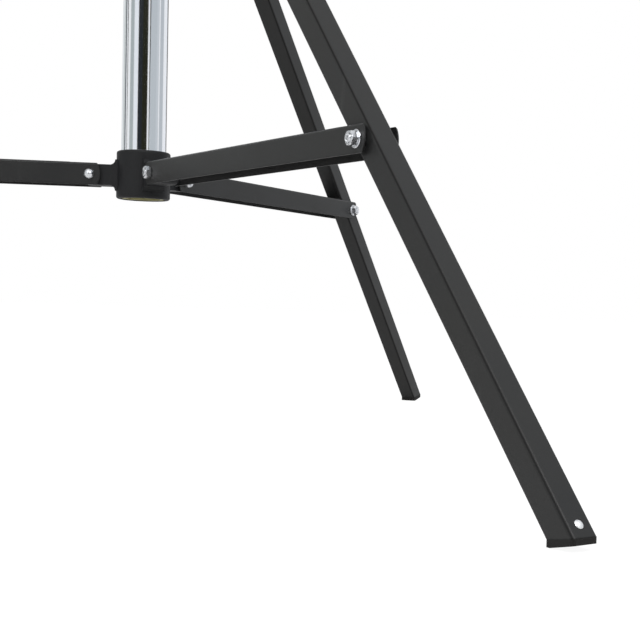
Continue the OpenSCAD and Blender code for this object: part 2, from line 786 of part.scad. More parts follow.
module winch_drum() {
    color(cast_grey) winch_side() translate([0, drum_y, drum_z]) difference() {
        union() {
            translate([-drum_half, 0, 0]) x_bar(drum_core_r, 2*drum_half);
            for (x = [-drum_half - flange_t, drum_half]) translate([x, 0, 0]) x_bar(flange_d/2, flange_t);
        }
        translate([-drum_half - flange_t - overrun, 0, 0])
            x_bar(shaft_d/2 + pin_play, 2*(drum_half + flange_t + overrun));
        for (i = [1:flange_holes]) rotate([i*360/flange_holes, 0, 0])
            translate([-drum_half - flange_t - overrun, 0, (drum_core_r + flange_d/2)/2])
                x_bar(flange_t, flange_t + 2*overrun);
    }
}

module drum_gear() {
    lighten = 5;
    rim_r = gear_r - 3*gear_module;
    hole_r = (rim_r - shaft_d)/2;
    color(zinc) winch_side() translate([0, drum_y, drum_z]) difference() {
        winch_plate(gear_x - slide_gap, gear_t) rotate(gear_turn) difference() {
            spur_gear_outline(gear_teeth);
            circle(r = shaft_d/2 + pin_play, $fn = small);
        }
        for (i = [1:lighten]) rotate([i*360/lighten, 0, 0])
            translate([gear_x - slide_gap - overrun, 0, (rim_r + shaft_d)/2])
                x_bar(hole_r*0.6, gear_t + 2*overrun);
    }
}

module drum_axle() {
    color(zinc) winch_side() translate([-frame_w/2 - shaft_d/4, drum_y, drum_z]) {
        x_bar(shaft_d/2, frame_w + shaft_d/2);
        for (x = [0, frame_w + shaft_d/2]) translate([x, 0, 0]) mirror([x > 0 ? 0 : 1, 0, 0])
            x_bar(shaft_d*0.7, shaft_d/3);
    }
}

// Sweep of a six-sided tube through rings of points
rope_sides = 6;
turn_rings = 24;
function cross3(a, b) = [a[1]*b[2] - a[2]*b[1], a[2]*b[0] - a[0]*b[2], a[0]*b[1] - a[1]*b[0]];
function unit(v) = v/norm(v);
function tube_ring(p, along, side_axis, r, sides) =
    let (u = unit(cross3(along, side_axis)), v = unit(cross3(u, along)))
    [for (j = [0:sides - 1]) p + r*(cos(j*360/sides)*u + sin(j*360/sides)*v)];

module swept_tube(path, side_axis, r, sides) {
    last = len(path) - 1;
    points = [for (i = [0:last])
        let (before = path[max(i - 1, 0)], after = path[min(i + 1, last)])
        each tube_ring(path[i], after - before, side_axis, r, sides)];
    wall = [for (i = [0:last - 1]) for (j = [0:sides - 1])
        let (a = i*sides + j, b = i*sides + (j + 1)%sides)
        each [[a, b, a + sides], [b, b + sides, a + sides]]];
    start = [for (j = [1:sides - 2]) [0, j + 1, j]];
    end = [for (j = [1:sides - 2]) [last*sides, last*sides + j, last*sides + j + 1]];
    polyhedron(points = points, faces = concat(wall, start, end));
}

// Winding on the drum, beside the rising rope, with a short straight end on each side
winding_start_x = -rope_d - 2*slide_gap;
function winding_point(turn) =
    [winding_start_x - rope_pitch*turn, -drum_rope_r*cos(360*turn), -drum_rope_r*sin(360*turn)];
winding_path = concat(
    [winding_point(0) + [0, 0, rope_d]],
    [for (i = [0:rope_turns*turn_rings]) winding_point(i/turn_rings)],
    [winding_point(rope_turns) - [0, 0, rope_d]]);
winding_gap = min([for (i = [1:turn_rings]) for (j = [turn_rings:turn_rings + 2])
    norm(winding_path[i + j] - winding_path[i])]) - rope_d;
echo(least_gap_of_the_winding = winding_gap);

module drum_rope() {
    color(zinc) winch_side() translate([0, drum_y, drum_z])
        swept_tube(winding_path, [1, 0, 0], rope_d/2, rope_sides);
}

// Crank shaft, pinion and load brake

crank_x = saddle_w/2 + shaft_d/3;

module crank_shaft() {
    color(zinc) winch_side() translate([-frame_w/2 - shaft_d/3, crank_y, crank_z]) {
        x_bar(shaft_d/2, frame_w/2 + shaft_d/3 + crank_x + crank_t + shaft_d*0.7);
        mirror([1, 0, 0]) x_bar(shaft_d*0.7, shaft_d/4);
    }
}

module crank_pinion() {
    color(zinc) winch_side() translate([0, crank_y, crank_z])
        winch_plate(gear_x - slide_gap, gear_t) rotate(pinion_turn) difference() {
            spur_gear_outline(pinion_teeth);
            circle(r = shaft_d/2 + seat_play, $fn = small);
        }
}

// Load brake: a steel disc keyed to the crank shaft runs against a fibre pad on the side plate

module brake_pad() {
    color(brass_yellow) winch_side() translate([-frame_gap/2, crank_y, crank_z]) rotate([0, 90, 0])
        ring(brake_d/2 - brake_pad_t, shaft_d/2 + 2*slide_gap, brake_pad_t);
}

module brake_disc() {
    pad_in = brake_pad_t + seat_play;
    color(zinc) winch_side() translate([pad_in - frame_gap/2, crank_y, crank_z]) rotate([0, 90, 0]) {
        ring(brake_d/2, shaft_d/2 + seat_play, brake_t);
        translate([0, 0, brake_t]) ring(shaft_d, shaft_d/2 + seat_play, brake_t);
    }
}

// Crank arm, nut, grip and grip pin: the arm hangs straight down

grip_x = crank_x + crank_t;
grip_pin_d = 9;

module crank_arm() {
    color(chrome) winch_side() translate([crank_x, crank_y, crank_z]) difference() {
        union() {
            x_bar(crank_w*0.7, crank_t);
            translate([0, -crank_w/2, -crank_len]) cube([crank_t, crank_w, crank_len]);
            translate([0, 0, -crank_len]) x_bar(crank_w/2, crank_t);
        }
        translate([-overrun, 0, 0]) x_bar(shaft_d/2 + seat_play, crank_t + 2*overrun);
        translate([-overrun, 0, -crank_len]) x_bar(grip_pin_d/2 + seat_play, crank_t + 2*overrun);
    }
}

module crank_nut() {
    color(zinc) winch_side() translate([grip_x, crank_y, crank_z]) rotate([0, 90, 0]) difference() {
        cylinder(d = shaft_d*1.9, h = shaft_d/2, $fn = 6);
        translate([0, 0, -overrun]) cylinder(r = shaft_d/2 + seat_play, h = shaft_d, $fn = small);
    }
}

module grip_pin() {
    color(zinc) winch_side() translate([crank_x, crank_y, crank_z - crank_len]) {
        x_bar(grip_pin_d/2, crank_t + slide_gap + grip_len + slide_gap);
        translate([crank_t + 2*slide_gap + grip_len, 0, 0]) x_bar(grip_pin_d*0.85, washer_t);
        mirror([1, 0, 0]) x_bar(grip_pin_d*0.85, washer_t);
    }
}

// Turned grip: a barrel with a waist at each end
module crank_grip() {
    r = grip_d/2;
    swell_shares = [[0, 0.72], [0.03, 0.85], [0.12, 0.9], [0.3, 1], [0.55, 0.97],
        [0.8, 0.82], [0.92, 0.8], [0.97, 0.76], [1, 0.6]];
    color(plastic_black) winch_side() translate([grip_x + slide_gap, crank_y, crank_z - crank_len])
        rotate([0, 90, 0]) rotate_extrude($fn = small)
            polygon(concat([[grip_pin_d/2 + pin_play, 0]],
                [for (p = swell_shares) [r*p[1], grip_len*p[0]]],
                [[grip_pin_d/2 + pin_play, grip_len]]));
}

// Column head with its pulley, pin and guide bush

head_wall = 7;
head_skirt = 28;
head_rim = 6;
cheek_t = 5;
cheek_drop = 18;
cheek_r = 16;
cheek_back = 2;
cheek_step = 12;
cheek_in = pulley_t/2 + slide_gap;
head_r = column_r + head_wall;
head_bore_r = middle_r + 2*slide_gap;
head_low = column_high - head_skirt;
head_high = column_high + head_rim;
cheek_low = column_high - cheek_drop;
cheek_high = pulley_z + cheek_r;
cheek_out = pulley_y + cheek_r + cheek_back;

module column_head() {
    color(cast_grey) winch_side() difference() {
        union() {
            translate([0, 0, head_low]) rimmed_ring(head_r, head_bore_r, head_high - head_low, hub_edge);
            for (s = [0, 1]) mirror([s, 0, 0]) translate([cheek_in, 0, 0]) {
                translate([0, head_bore_r, cheek_low])
                    cube([cheek_t, cheek_out - cheek_step - head_bore_r, cheek_high - cheek_step - cheek_low]);
                translate([0, pulley_y, pulley_z]) x_bar(cheek_r, cheek_t);
            }
        }
        translate([0, 0, head_low - overrun])
            cylinder(r = column_r + seat_play, h = column_high - head_low + overrun, $fn = fine);
        translate([0, 0, head_low - overrun])
            cylinder(r = head_bore_r, h = cheek_high - head_low + 2*overrun, $fn = fine);
        translate([-cheek_in, middle_r/2, column_high])
            cube([2*cheek_in, cheek_out, cheek_high - column_high]);
        translate([-cheek_in - cheek_t - overrun, pulley_y, pulley_z])
            x_bar(pulley_pin_d/2 + seat_play, 2*(cheek_in + cheek_t + overrun));
    }
}

module column_guide() {
    guide_h = 45;
    color(plastic_black) winch_side() translate([0, 0, column_high - guide_h]) difference() {
        ring(column_bore_r - seat_play, middle_r + slide_gap, guide_h);
        translate([-rope_d/2 - slide_gap, middle_r - overrun, -overrun])
            cube([rope_d + 2*slide_gap, column_r, guide_h + 2*overrun]);
    }
}

module pulley() {
    groove = rope_d/2 + slide_gap/2;
    color(zinc) winch_side() translate([-pulley_t/2, pulley_y, pulley_z]) rotate([0, 90, 0])
        rotate_extrude($fn = fine) difference() {
            translate([pulley_pin_d/2 + pin_play, 0])
                square([pulley_d/2 - pulley_pin_d/2 - pin_play, pulley_t]);
            translate([pulley_r, pulley_t/2]) circle(r = groove, $fn = small);
            translate([pulley_r, pulley_t/2 - groove]) square([pulley_d, 2*groove]);
        }
}

module pulley_pin() {
    pin_end = 2;
    reach = cheek_in + cheek_t;
    color(zinc) winch_side() translate([-reach - pin_end, pulley_y, pulley_z]) {
        x_bar(pulley_pin_d/2, 2*(reach + pin_end));
        x_bar(pulley_pin_d*0.8, pin_end);
        translate([2*reach + pin_end, 0, 0]) x_bar(pulley_pin_d*0.8, pin_end);
    }
}

// Rope from the drum up, over the pulley and down to the column's end
arc_steps = 16;
rope_path = concat(
    [for (i = [0:2]) [0, riser_y, drum_z + (pulley_z - drum_z)*i/2]],
    [for (i = [1:arc_steps]) let (a = i*180/arc_steps)
        [0, pulley_y + pulley_r*cos(a), pulley_z + pulley_r*sin(a)]]);
rope_path_sides = 8;

module hoist_rope() {
    color(zinc) winch_side() swept_tube(rope_path, [1, 0, 0], rope_d/2, rope_path_sides);
}

module rope_drop() {
    low = middle_low + mast_slider_h;
    color(zinc) winch_side() swept_tube([[0, rope_drop_r, pulley_z], [0, rope_drop_r, (pulley_z + low)/2],
        [0, rope_drop_r, low]], [1, 0, 0], rope_d/2, rope_path_sides);
}

// Masts

module middle_mast() {
    color(chrome) on_axis() translate([0, 0, middle_low])
        ring(middle_r, middle_r - middle_t, middle_high - middle_low);
}

module middle_slider() {
    color(plastic_black) on_axis() translate([0, 0, middle_low])
        ring(column_bore_r - slide_gap, middle_r + seat_play, mast_slider_h);
}

collar_low = middle_high + collar_above - collar_h;
collar_knob_z = middle_high + collar_above/2;
collar_r = collar_d/2;

module middle_collar() {
    color(cast_grey) on_axis() difference() {
        union() {
            translate([0, 0, collar_low]) rimmed_ring(collar_r, top_r + slide_gap, collar_h, hub_edge);
            translate([0, 0, collar_knob_z]) rotate([0, 0, -winch_azimuth])
                x_bar(boss_r, collar_r + clamp_screw_d/2);
        }
        translate([0, 0, collar_low - overrun])
            cylinder(r = middle_r + seat_play, h = collar_h - collar_above + overrun, $fn = fine);
        translate([0, 0, collar_low - overrun])
            cylinder(r = top_r + slide_gap, h = collar_h + 2*overrun, $fn = fine);
        translate([0, 0, collar_knob_z]) rotate([0, 0, -winch_azimuth])
            x_bar(clamp_screw_d/2 + pin_play, collar_d);
    }
}

module middle_clamp_knob() {
    color(plastic_black) on_axis() translate([0, 0, collar_knob_z]) rotate([0, 0, -winch_azimuth])
        translate([top_r + slide_gap, 0, 0]) knob_screw(collar_r + clamp_screw_d - top_r);
}

module top_mast() {
    color(chrome) on_axis() translate([0, 0, top_low]) ring(top_r, top_r - top_t, top_high - top_low);
}

module top_slider() {
    color(plastic_black) on_axis() translate([0, 0, top_low])
        ring(middle_r - middle_t - slide_gap, top_r + seat_play, mast_slider_h);
}

socket_r = socket_d/2;
socket_low = top_high - socket_grip;
socket_high = top_high + socket_h;
socket_knob_z = socket_high - socket_depth*0.45;

module top_socket() {
    color(cast_grey) on_axis() difference() {
        union() {
            translate([0, 0, socket_low]) rimmed_ring(socket_r, top_r/2, socket_high - socket_low, hub_edge);
            translate([0, 0, socket_knob_z]) rotate([0, 0, winch_azimuth])
                x_bar(boss_r, socket_r + clamp_screw_d/2);
        }
        translate([0, 0, socket_low - overrun])
            cylinder(r = top_r + seat_play, h = socket_grip + overrun, $fn = fine);
        translate([0, 0, socket_high - socket_depth])
            cylinder(d = socket_bore_d, h = socket_depth + overrun, $fn = fine);
        translate([0, 0, socket_knob_z]) rotate([0, 0, winch_azimuth])
            x_bar(clamp_screw_d/2 + pin_play, socket_d);
    }
}

module socket_knob() {
    color(plastic_black) on_axis() translate([0, 0, socket_knob_z]) rotate([0, 0, winch_azimuth])
        translate([socket_bore_d/2 + slide_gap, 0, 0]) knob_screw(socket_r + clamp_screw_d - socket_bore_d/2);
}

outer_column();
column_end_ring();
lower_hub();
hub_bolts();
hub_nuts();
brace_1();
brace_2();
brace_3();
leg_bolt_1();
leg_bolt_2();
leg_bolt_3();
leg_1();
leg_2();
leg_3();
foot_cap_1();
foot_cap_2();
foot_cap_3();
foot_rivet_1();
foot_rivet_2();
foot_rivet_3();
upper_hub();
hub_liner();
upper_hub_bolts();
hub_clamp_knob();
winch_frame();
winch_saddle();
winch_bolts();
winch_drum();
drum_gear();
drum_rope();
drum_axle();
crank_shaft();
crank_pinion();
brake_disc();
brake_pad();
crank_arm();
crank_nut();
crank_grip();
grip_pin();
column_head();
column_guide();
pulley();
pulley_pin();
hoist_rope();
rope_drop();
middle_mast();
middle_slider();
middle_collar();
middle_clamp_knob();
top_mast();
top_slider();
top_socket();
socket_knob();
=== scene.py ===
import math
import bmesh
import bpy
from mathutils import Matrix, Vector


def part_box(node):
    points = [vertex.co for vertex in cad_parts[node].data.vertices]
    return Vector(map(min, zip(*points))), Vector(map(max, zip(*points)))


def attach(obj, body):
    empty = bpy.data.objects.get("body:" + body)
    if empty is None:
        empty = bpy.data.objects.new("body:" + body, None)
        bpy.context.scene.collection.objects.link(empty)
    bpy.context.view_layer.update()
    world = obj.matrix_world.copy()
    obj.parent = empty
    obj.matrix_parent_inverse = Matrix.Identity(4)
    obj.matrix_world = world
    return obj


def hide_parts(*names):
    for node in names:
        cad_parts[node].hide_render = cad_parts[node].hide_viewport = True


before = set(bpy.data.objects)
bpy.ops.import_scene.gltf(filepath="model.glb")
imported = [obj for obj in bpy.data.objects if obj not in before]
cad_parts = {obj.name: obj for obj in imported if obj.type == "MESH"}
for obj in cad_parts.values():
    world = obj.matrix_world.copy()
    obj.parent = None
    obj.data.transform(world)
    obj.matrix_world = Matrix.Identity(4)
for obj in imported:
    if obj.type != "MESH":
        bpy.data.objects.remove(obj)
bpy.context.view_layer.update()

# Camera: low down and to the right of the stand, turned toward the foot of its column.
# The photograph is cut from a wider picture, so the lens is shifted to frame it.
camera_data = bpy.data.cameras.new("camera")
camera_data.lens = 70.5
camera_data.sensor_width = 36
camera_data.shift_x = -0.22
camera_data.shift_y = 0.0656
camera_data.clip_end = 60
camera = bpy.data.objects.new("camera", camera_data)
bpy.context.collection.objects.link(camera)
heading = Vector((-0.38662, 0.92224, 0))
tilt = math.radians(-2.671)
roll = math.radians(1.586)
forward = heading*math.cos(tilt) + Vector((0, 0, math.sin(tilt)))
level_right = heading.cross(Vector((0, 0, 1)))
level_up = level_right.cross(forward)
right = level_right*math.cos(roll) + level_up*math.sin(roll)
up = level_up*math.cos(roll) - level_right*math.sin(roll)
camera.matrix_world = Matrix((right, up, -forward)).transposed().to_4x4()
camera.location = (0.99096, -1.513224, 0.18312)
bpy.context.scene.camera = camera


# Outer column: drawn steel tube under bright chrome plate.
# The plate is polished round the tube, so its faint hairlines run round it; hands leave smears on it.
class Wire:
    """A shader socket that takes part in sums: an expression on wires adds its Math nodes."""

    def __init__(self, finish, socket):
        self.finish, self.socket = finish, socket

    def math(self, operation, first, second):
        return self.finish.node("ShaderNodeMath", {"operation": operation}, {0: first, 1: second})

    def __add__(self, other):
        return self.math("ADD", self, other)

    def __sub__(self, other):
        return self.math("SUBTRACT", self, other)

    def __rsub__(self, other):
        return self.math("SUBTRACT", other, self)

    def __mul__(self, other):
        return self.math("MULTIPLY", self, other)

    __radd__ = __add__
    __rmul__ = __mul__


class Finish:
    """A new material in the making, or the nodes of the owner that is given."""

    def __init__(self, name, owner=None):
        self.owner = owner or bpy.data.materials.new(name)
        self.owner.use_nodes = True
        self.tree = self.owner.node_tree
        self.tree.nodes.clear()

    def node(self, kind, settings=(), inputs=(), output=0):
        """Adds a node and gives its first output, or the one named."""
        made = self.tree.nodes.new(kind)
        for key, value in dict(settings).items():
            setattr(made, key, value)
        for key, value in dict(inputs).items():
            if isinstance(value, Wire):
                self.tree.links.new(value.socket, made.inputs[key])
            else:
                made.inputs[key].default_value = value
        return Wire(self, made.outputs[output]) if made.outputs else None

    def place(self):
        """Place on the piece, in metres, so that a pattern turns and slides with the piece."""
        return self.node("ShaderNodeTexCoord", output="Object")

    def noise(self, scale, detail=2.0, stretch=None):
        vector = self.place()
        if stretch:
            multiply = {"operation": "MULTIPLY"}
            vector = self.node("ShaderNodeVectorMath", multiply, {0: vector, 1: stretch})
        values = {"Vector": vector, "Scale": scale, "Detail": detail}
        return self.node("ShaderNodeTexNoise", (), values, "Fac")

    def dot(self, first, second):
        """1 where two unit directions agree, 0 where they stand square to each other."""
        product = {"operation": "DOT_PRODUCT"}
        return self.node("ShaderNodeVectorMath", product, {0: first, 1: second}, "Value")

    def span(self, value, low, high, new_low=0.0, new_high=1.0):
        return self.node("ShaderNodeMapRange", (), {0: value, 1: low, 2: high, 3: new_low, 4: new_high})

    def mix(self, factor, first, second):
        return self.node("ShaderNodeMix", {"data_type": "RGBA"}, {0: factor, 6: first, 7: second}, 2)

    def edge(self, radius, flat, sharp):
        """1 on an edge, where a rounded copy of the surface turns away from the true one."""
        rounded = self.node("ShaderNodeBevel", {"samples": 4}, {"Radius": radius})
        true = self.node("ShaderNodeNewGeometry", output="Normal")
        return self.span(self.dot(rounded, true), flat, sharp)

    def bump(self, height, distance, strength=1.0):
        values = {"Height": height, "Distance": distance, "Strength": strength}
        return self.node("ShaderNodeBump", (), values)

    def principled(self, **sockets):
        """A Principled shader: a key is a socket's name, with _ for a space."""
        values = {key.replace("_", " "): value for key, value in sockets.items()}
        return self.node("ShaderNodeBsdfPrincipled", (), values)

    def surface(self, **sockets):
        return self.close(self.principled(**sockets))

    def close(self, shader):
        self.node("ShaderNodeOutputMaterial", (), {"Surface": shader})
        return self.owner


def dress(material, *nodes):
    """Gives CAD nodes their finish."""
    for name in nodes:
        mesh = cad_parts[name].data
        mesh.materials.clear()
        mesh.materials.append(material)


chrome = Finish("chrome_plate")
hairlines = chrome.noise(90.0, 3.0, (1.0, 1.0, 60.0))
smears = chrome.noise(14.0, 4.0, (1.0, 1.0, 0.35))
chrome_metal = chrome.surface(
    Base_Color=chrome.mix(smears, (0.83, 0.85, 0.88, 1), (0.76, 0.785, 0.82, 1)),
    Metallic=1.0,
    Roughness=chrome.span(hairlines*0.5 + smears*0.5, 0.3, 0.75, 0.055, 0.14),
    Normal=chrome.bump(hairlines, 0.00002, 0.22))
dress(chrome_metal, "outer_column")

# End ring: a pressed steel ring in the column's open end, zinc-plated and yellow passivated.
# Passivation leaves an uneven olive tone.
passivated = Finish("yellow_passivated_zinc")
stain = passivated.noise(60.0, 5.0)
ring_metal = passivated.surface(
    Base_Color=passivated.mix(stain, (0.44, 0.40, 0.19, 1), (0.27, 0.26, 0.14, 1)),
    Metallic=0.75,
    Roughness=passivated.span(stain, 0.3, 0.7, 0.35, 0.6),
    Normal=passivated.bump(passivated.noise(700.0), 0.00004, 0.5))
dress(ring_metal, "column_end_ring")

# Lower hub: a cast collar with three lugs, sprayed with dull black paint.
# Under the paint the uneven skin of the casting shows; rubbed edges are greyer.
cast = Finish("black_paint_on_hubs")
skin = cast.noise(55.0, 4.0)
spray = cast.noise(900.0, 2.0)
rubbed = cast.edge(0.0012, 0.995, 0.86)*cast.span(skin, 0.4, 0.62)
paint = cast.mix(skin, (0.0058, 0.0062, 0.0072, 1), (0.0092, 0.0096, 0.0104, 1))
cast_paint = cast.surface(
    Base_Color=cast.mix(rubbed*0.5, paint, (0.030, 0.030, 0.031, 1)),
    Metallic=0.0,
    Specular_IOR_Level=0.26,
    Roughness=cast.span(skin + spray*0.3, 0.4, 0.9, 0.46, 0.62),
    Normal=cast.bump(spray*0.35 + skin, 0.00035, 0.5))
dress(cast_paint, "lower_hub")

# Hub bolts: M8 bolts with a domed head, bright zinc plated, that pin the braces to the hub's lugs.
# Each has a chamfered nut, a threaded tail that stands out of it, and spacer rings beside the lug.
zinc = Finish("bright_zinc_plate")
cloudy = zinc.noise(130.0, 4.0)
pits = zinc.noise(1500.0, 2.0)
zinc_metal = zinc.surface(
    Base_Color=zinc.mix(cloudy, (0.80, 0.81, 0.83, 1), (0.62, 0.63, 0.66, 1)),
    Metallic=1.0,
    Roughness=zinc.span(cloudy*0.7 + pits*0.3, 0.3, 0.7, 0.16, 0.36),
    Normal=zinc.bump(pits, 0.00003, 0.5))

column_axis = Vector((0, -0.202612, 0))
leg_azimuths = (90, 210, 330)
pivot_r, pivot_z = 0.064, 0.3315
lug_half, brace_half, brace_wall, slide_gap = 0.014, 0.019, 0.0015, 0.0003
bolt_r, head_r, head_h, head_break, head_short = 0.004, 0.0063, 0.0045, 0.0003, 0.00002
nut_flat_r, nut_h = 0.0065, 0.007
washer_r, washer_t, seat_gap = 0.0087, 0.0016, 0.00005
thread_pitch, thread_depth, tip_chamfer, tail_out = 0.00125, 0.00055, 0.0009, 0.001
spacer_r, spacer_break = 0.008, 0.0004
dome_rings, thread_sides, pitch_rows = 12, 24, 5
crease = math.radians(38)


class Piece:
    """A new mesh, built from turned and skinned forms, that rides on a body."""

    def __init__(self, name):
        self.name = name
        self.mesh = bmesh.new()

    def skin(self, rings, closed=False):
        """Joins rings of equal point counts, or single points at the ends, with faces."""
        made = [[self.mesh.verts.new(point) for point in ring] for ring in rings]
        pairs = list(zip(made, made[1:])) + ([(made[-1], made[0])] if closed else [])
        for lower, upper in pairs:
            count = max(len(lower), len(upper))
            for i in range(count):
                j = (i + 1) % count
                below = [lower[i % len(lower)], lower[j % len(lower)]]
                above = [upper[j % len(upper)], upper[i % len(upper)]]
                self.mesh.faces.new(list(dict.fromkeys(below + above)))

    def turn(self, at, profile, steps=40, closed=False, outline=None):
        """Turns (radius, height) pairs round the local Z of the matrix; an outline scales the radius."""
        rings = []
        for radius, height in profile:
            count = steps if radius else 1
            ring = []
            for i in range(count):
                angle = math.tau*i/steps
                reach = outline(angle, radius) if outline else radius
                ring.append(at @ Vector((reach*math.cos(angle), reach*math.sin(angle), height)))
            rings.append(ring)
        self.skin(rings, closed)

    def finish(self, material, body, slot, *replaced):
        bmesh.ops.recalc_face_normals(self.mesh, faces=self.mesh.faces)
        for face in self.mesh.faces:
            face.smooth = True
        data = bpy.data.meshes.new(self.name)
        self.mesh.to_mesh(data)
        self.mesh.free()
        data.set_sharp_from_angle(angle=crease)
        data.materials.append(material)
        made = bpy.data.objects.new(self.name, data)
        bpy.context.collection.objects.link(made)
        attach(made, body)
        if replaced:
            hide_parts(*replaced)


def around(azimuth, outward, height=0.0):
    """A place by the column: X points away from it at that azimuth, Y along the tangent, Z up."""
    return (Matrix.Translation(column_axis) @ Matrix.Rotation(math.radians(azimuth), 4, "Z")
            @ Matrix.Translation((outward, 0, height)))


def step(distance):
    """A step along the local Z."""
    return Matrix.Translation((0, 0, distance))


def domed_head(piece, seat):
    """A domed head that stands on its seat; its dome stays just short of the full height."""
    dome_r = (head_r**2 + head_h**2)/(2*head_h)
    profile = [(0, 0), (head_r - head_break, 0), (head_r, head_break)]
    for i in range(1, dome_rings):
        angle = math.asin(head_r/dome_r)*(1 - i/dome_rings)
        height = dome_r*math.cos(angle) - dome_r + head_h - head_short*i/dome_rings
        profile.append((dome_r*math.sin(angle), height))
    piece.turn(seat, profile + [(0, head_h - head_short)])


def shank(piece, seat, start, end):
    """A bolt's plain shank from start to end on the local Z."""
    piece.turn(seat, [(0, start), (bolt_r, start), (bolt_r, end), (0, end)], 32)


def threaded_tail(piece, seat, start, end):
    """A bolt's tail from start to end on the local Z, with a thread and a chamfered tip."""
    rows = int((end - start)/thread_pitch*pitch_rows)
    rings = [[seat @ Vector((0, 0, start))]]
    for row in range(rows + 1):
        height = start + (end - start)*row/rows
        chamfer = max(0, tip_chamfer - (end - height))
        ring = []
        for i in range(thread_sides):
            wave = abs(((height/thread_pitch + i/thread_sides) % 1.0)*2 - 1)
            reach = bolt_r - thread_depth*wave*min(1, (height - start)/thread_pitch) - chamfer
            angle = math.tau*i/thread_sides
            ring.append(seat @ Vector((reach*math.cos(angle), reach*math.sin(angle), height)))
        rings.append(ring)
    piece.skin(rings + [[seat @ Vector((0, 0, end))]])


def hexagon(angle, radius):
    """Radius of the nut's six-sided outline; a radius within its flats stays round."""
    corner = nut_flat_r/math.cos((angle % (math.pi/3)) - math.pi/6)
    return min(radius, corner)


def nut(piece, seat):
    """A six-sided nut with chamfered corners, standing on its seat."""
    bore = bolt_r + seat_gap
    face_r, corner_r, chamfer_slope = nut_flat_r*0.97, nut_flat_r/math.cos(math.pi/6), 0.55
    under_break, top_break = 0.0004, 0.0006
    chamfer = []
    for i in range(5):
        radius = face_r + (corner_r - face_r)*i/4
        chamfer.append((radius, (radius - face_r)*chamfer_slope))
    under = [(bore, under_break), (bore + under_break, 0)] + chamfer
    top = [(radius, nut_h - height) for radius, height in reversed(chamfer)]
    top += [(bore + top_break, nut_h), (bore, nut_h - top_break)]
    piece.turn(seat, under + top, 72, closed=True, outline=hexagon)


def spacer(piece, seat, length):
    """A plain turned ring with broken edges."""
    bore = bolt_r + seat_gap
    piece.turn(seat, [(bore, 0), (spacer_r - spacer_break, 0), (spacer_r, spacer_break),
                      (spacer_r, length - spacer_break), (spacer_r - spacer_break, length),
                      (bore, length)], closed=True)


toward_head = Matrix.Rotation(math.radians(-90), 4, "X")
toward_nut = Matrix.Rotation(math.radians(90), 4, "X")
head_seat, shank_end, hub_nut_twist = brace_half + slide_gap, 0.0195, 0.3
hub_spacer_len = brace_half - brace_wall - slide_gap - lug_half
hub_heads = Piece("hub_bolts_turned")
hub_nut_set = Piece("hub_nuts_cut")
for azimuth in leg_azimuths:
    pivot = around(azimuth, pivot_r, pivot_z)
    domed_head(hub_heads, pivot @ Matrix.Translation((0, head_seat, 0)) @ toward_head)
    threaded_tail(hub_heads, pivot @ toward_nut, shank_end, head_seat + nut_h + tail_out)
    shank(hub_heads, pivot @ toward_nut, -head_seat, shank_end)
    nut_seat = pivot @ Matrix.Translation((0, -head_seat, 0)) @ toward_nut
    nut(hub_nut_set, nut_seat @ Matrix.Rotation(hub_nut_twist, 4, "Z"))
    for direction in (toward_head, toward_nut):
        spacer(hub_nut_set, pivot @ direction @ step(lug_half), hub_spacer_len)
hub_heads.finish(zinc_metal, "column", "zinc", "hub_bolts")
hub_nut_set.finish(zinc_metal, "column", "zinc", "hub_nuts")


# Braces: channels folded from sheet steel, open below, powder-coated satin black.
# The coat has a fine orange peel and a cloudy tone; along edges its colour is painted darker as shade.
def powder_coat(name):
    """The coat's finish and its shader."""
    steel = Finish(name)
    peel = steel.noise(620.0, 2.0)
    cloud = steel.noise(9.0, 3.0)
    scuff = steel.span(steel.noise(48.0, 6.0, (1.0, 1.0, 0.25)), 0.66, 0.74)
    # Painted shade: the coat's colour is darkened along every edge, standing in for the shade there.
    edge_shade = steel.edge(0.0025, 0.999, 0.95)
    coat = steel.mix(cloud, (0.0108, 0.0116, 0.0130, 1), (0.0165, 0.0160, 0.0144, 1))
    coat = steel.mix(scuff*0.3, coat, (0.04, 0.04, 0.04, 1))
    shader = steel.principled(
        Base_Color=steel.mix(edge_shade*0.7, coat, (0.003, 0.003, 0.003, 1)),
        Metallic=0.0,
        Specular_IOR_Level=0.32,
        Roughness=steel.span(cloud + peel*0.25, 0.2, 0.9, 0.34, 0.52),
        Normal=steel.bump(peel, 0.00012, 0.55))
    return steel, shader


sheet, sheet_shader = powder_coat("black_powder_coat_on_sheet")
sheet_paint = sheet.close(sheet_shader)
dress(sheet_paint, "brace_1", "brace_2", "brace_3")

# Leg tubes: rectangular steel tubes under the same coat, with painted shade along the middle of rolled
# corners and on sawn ends.
# On a rolled corner the normal lies between that of the upper or lower face and that of a side face.
tube, tube_shader = powder_coat("black_powder_coat_on_tube")
upper_face_rise = math.cos(math.radians(48.7))
facing = tube.node("ShaderNodeTexCoord", output="Normal")
upward = tube.dot(facing, (0, 0, 1/upper_face_rise))
upper_share = upward*upward
corner = (upper_share - upper_share*upper_share)*4.0
# Painted shade: a dark diffuse takes the coat's place in the middle of rolled corners and on sawn ends.
shade_diffuse = tube.node("ShaderNodeBsdfDiffuse", (), {"Color": (0.009, 0.009, 0.009, 1)})
corner_shade = tube.span(corner, 0.55, 1.0, 0.0, 0.8)
sawn_end_shade = tube.edge(0.0014, 0.995, 0.9)
coat_with_painted_shade = tube.node("ShaderNodeMixShader", (), {0: corner_shade + sawn_end_shade*0.7, 1: tube_shader, 2: shade_diffuse})
tube_paint = tube.close(coat_with_painted_shade)
dress(tube_paint, "leg_1", "leg_2", "leg_3")

# Leg bolts: the same bolts and nuts, with a punched washer, where a brace holds its leg.
# Spacer rings keep the leg in the middle of the wider brace.
brace_len, tube_half, leg_nut_twist = 0.4658, 0.013, 0.7
leg_spacer_at = tube_half + slide_gap
leg_spacer_len = brace_half - brace_wall - leg_spacer_at
punched_edge, burred_edge = 0.0002, 0.0004


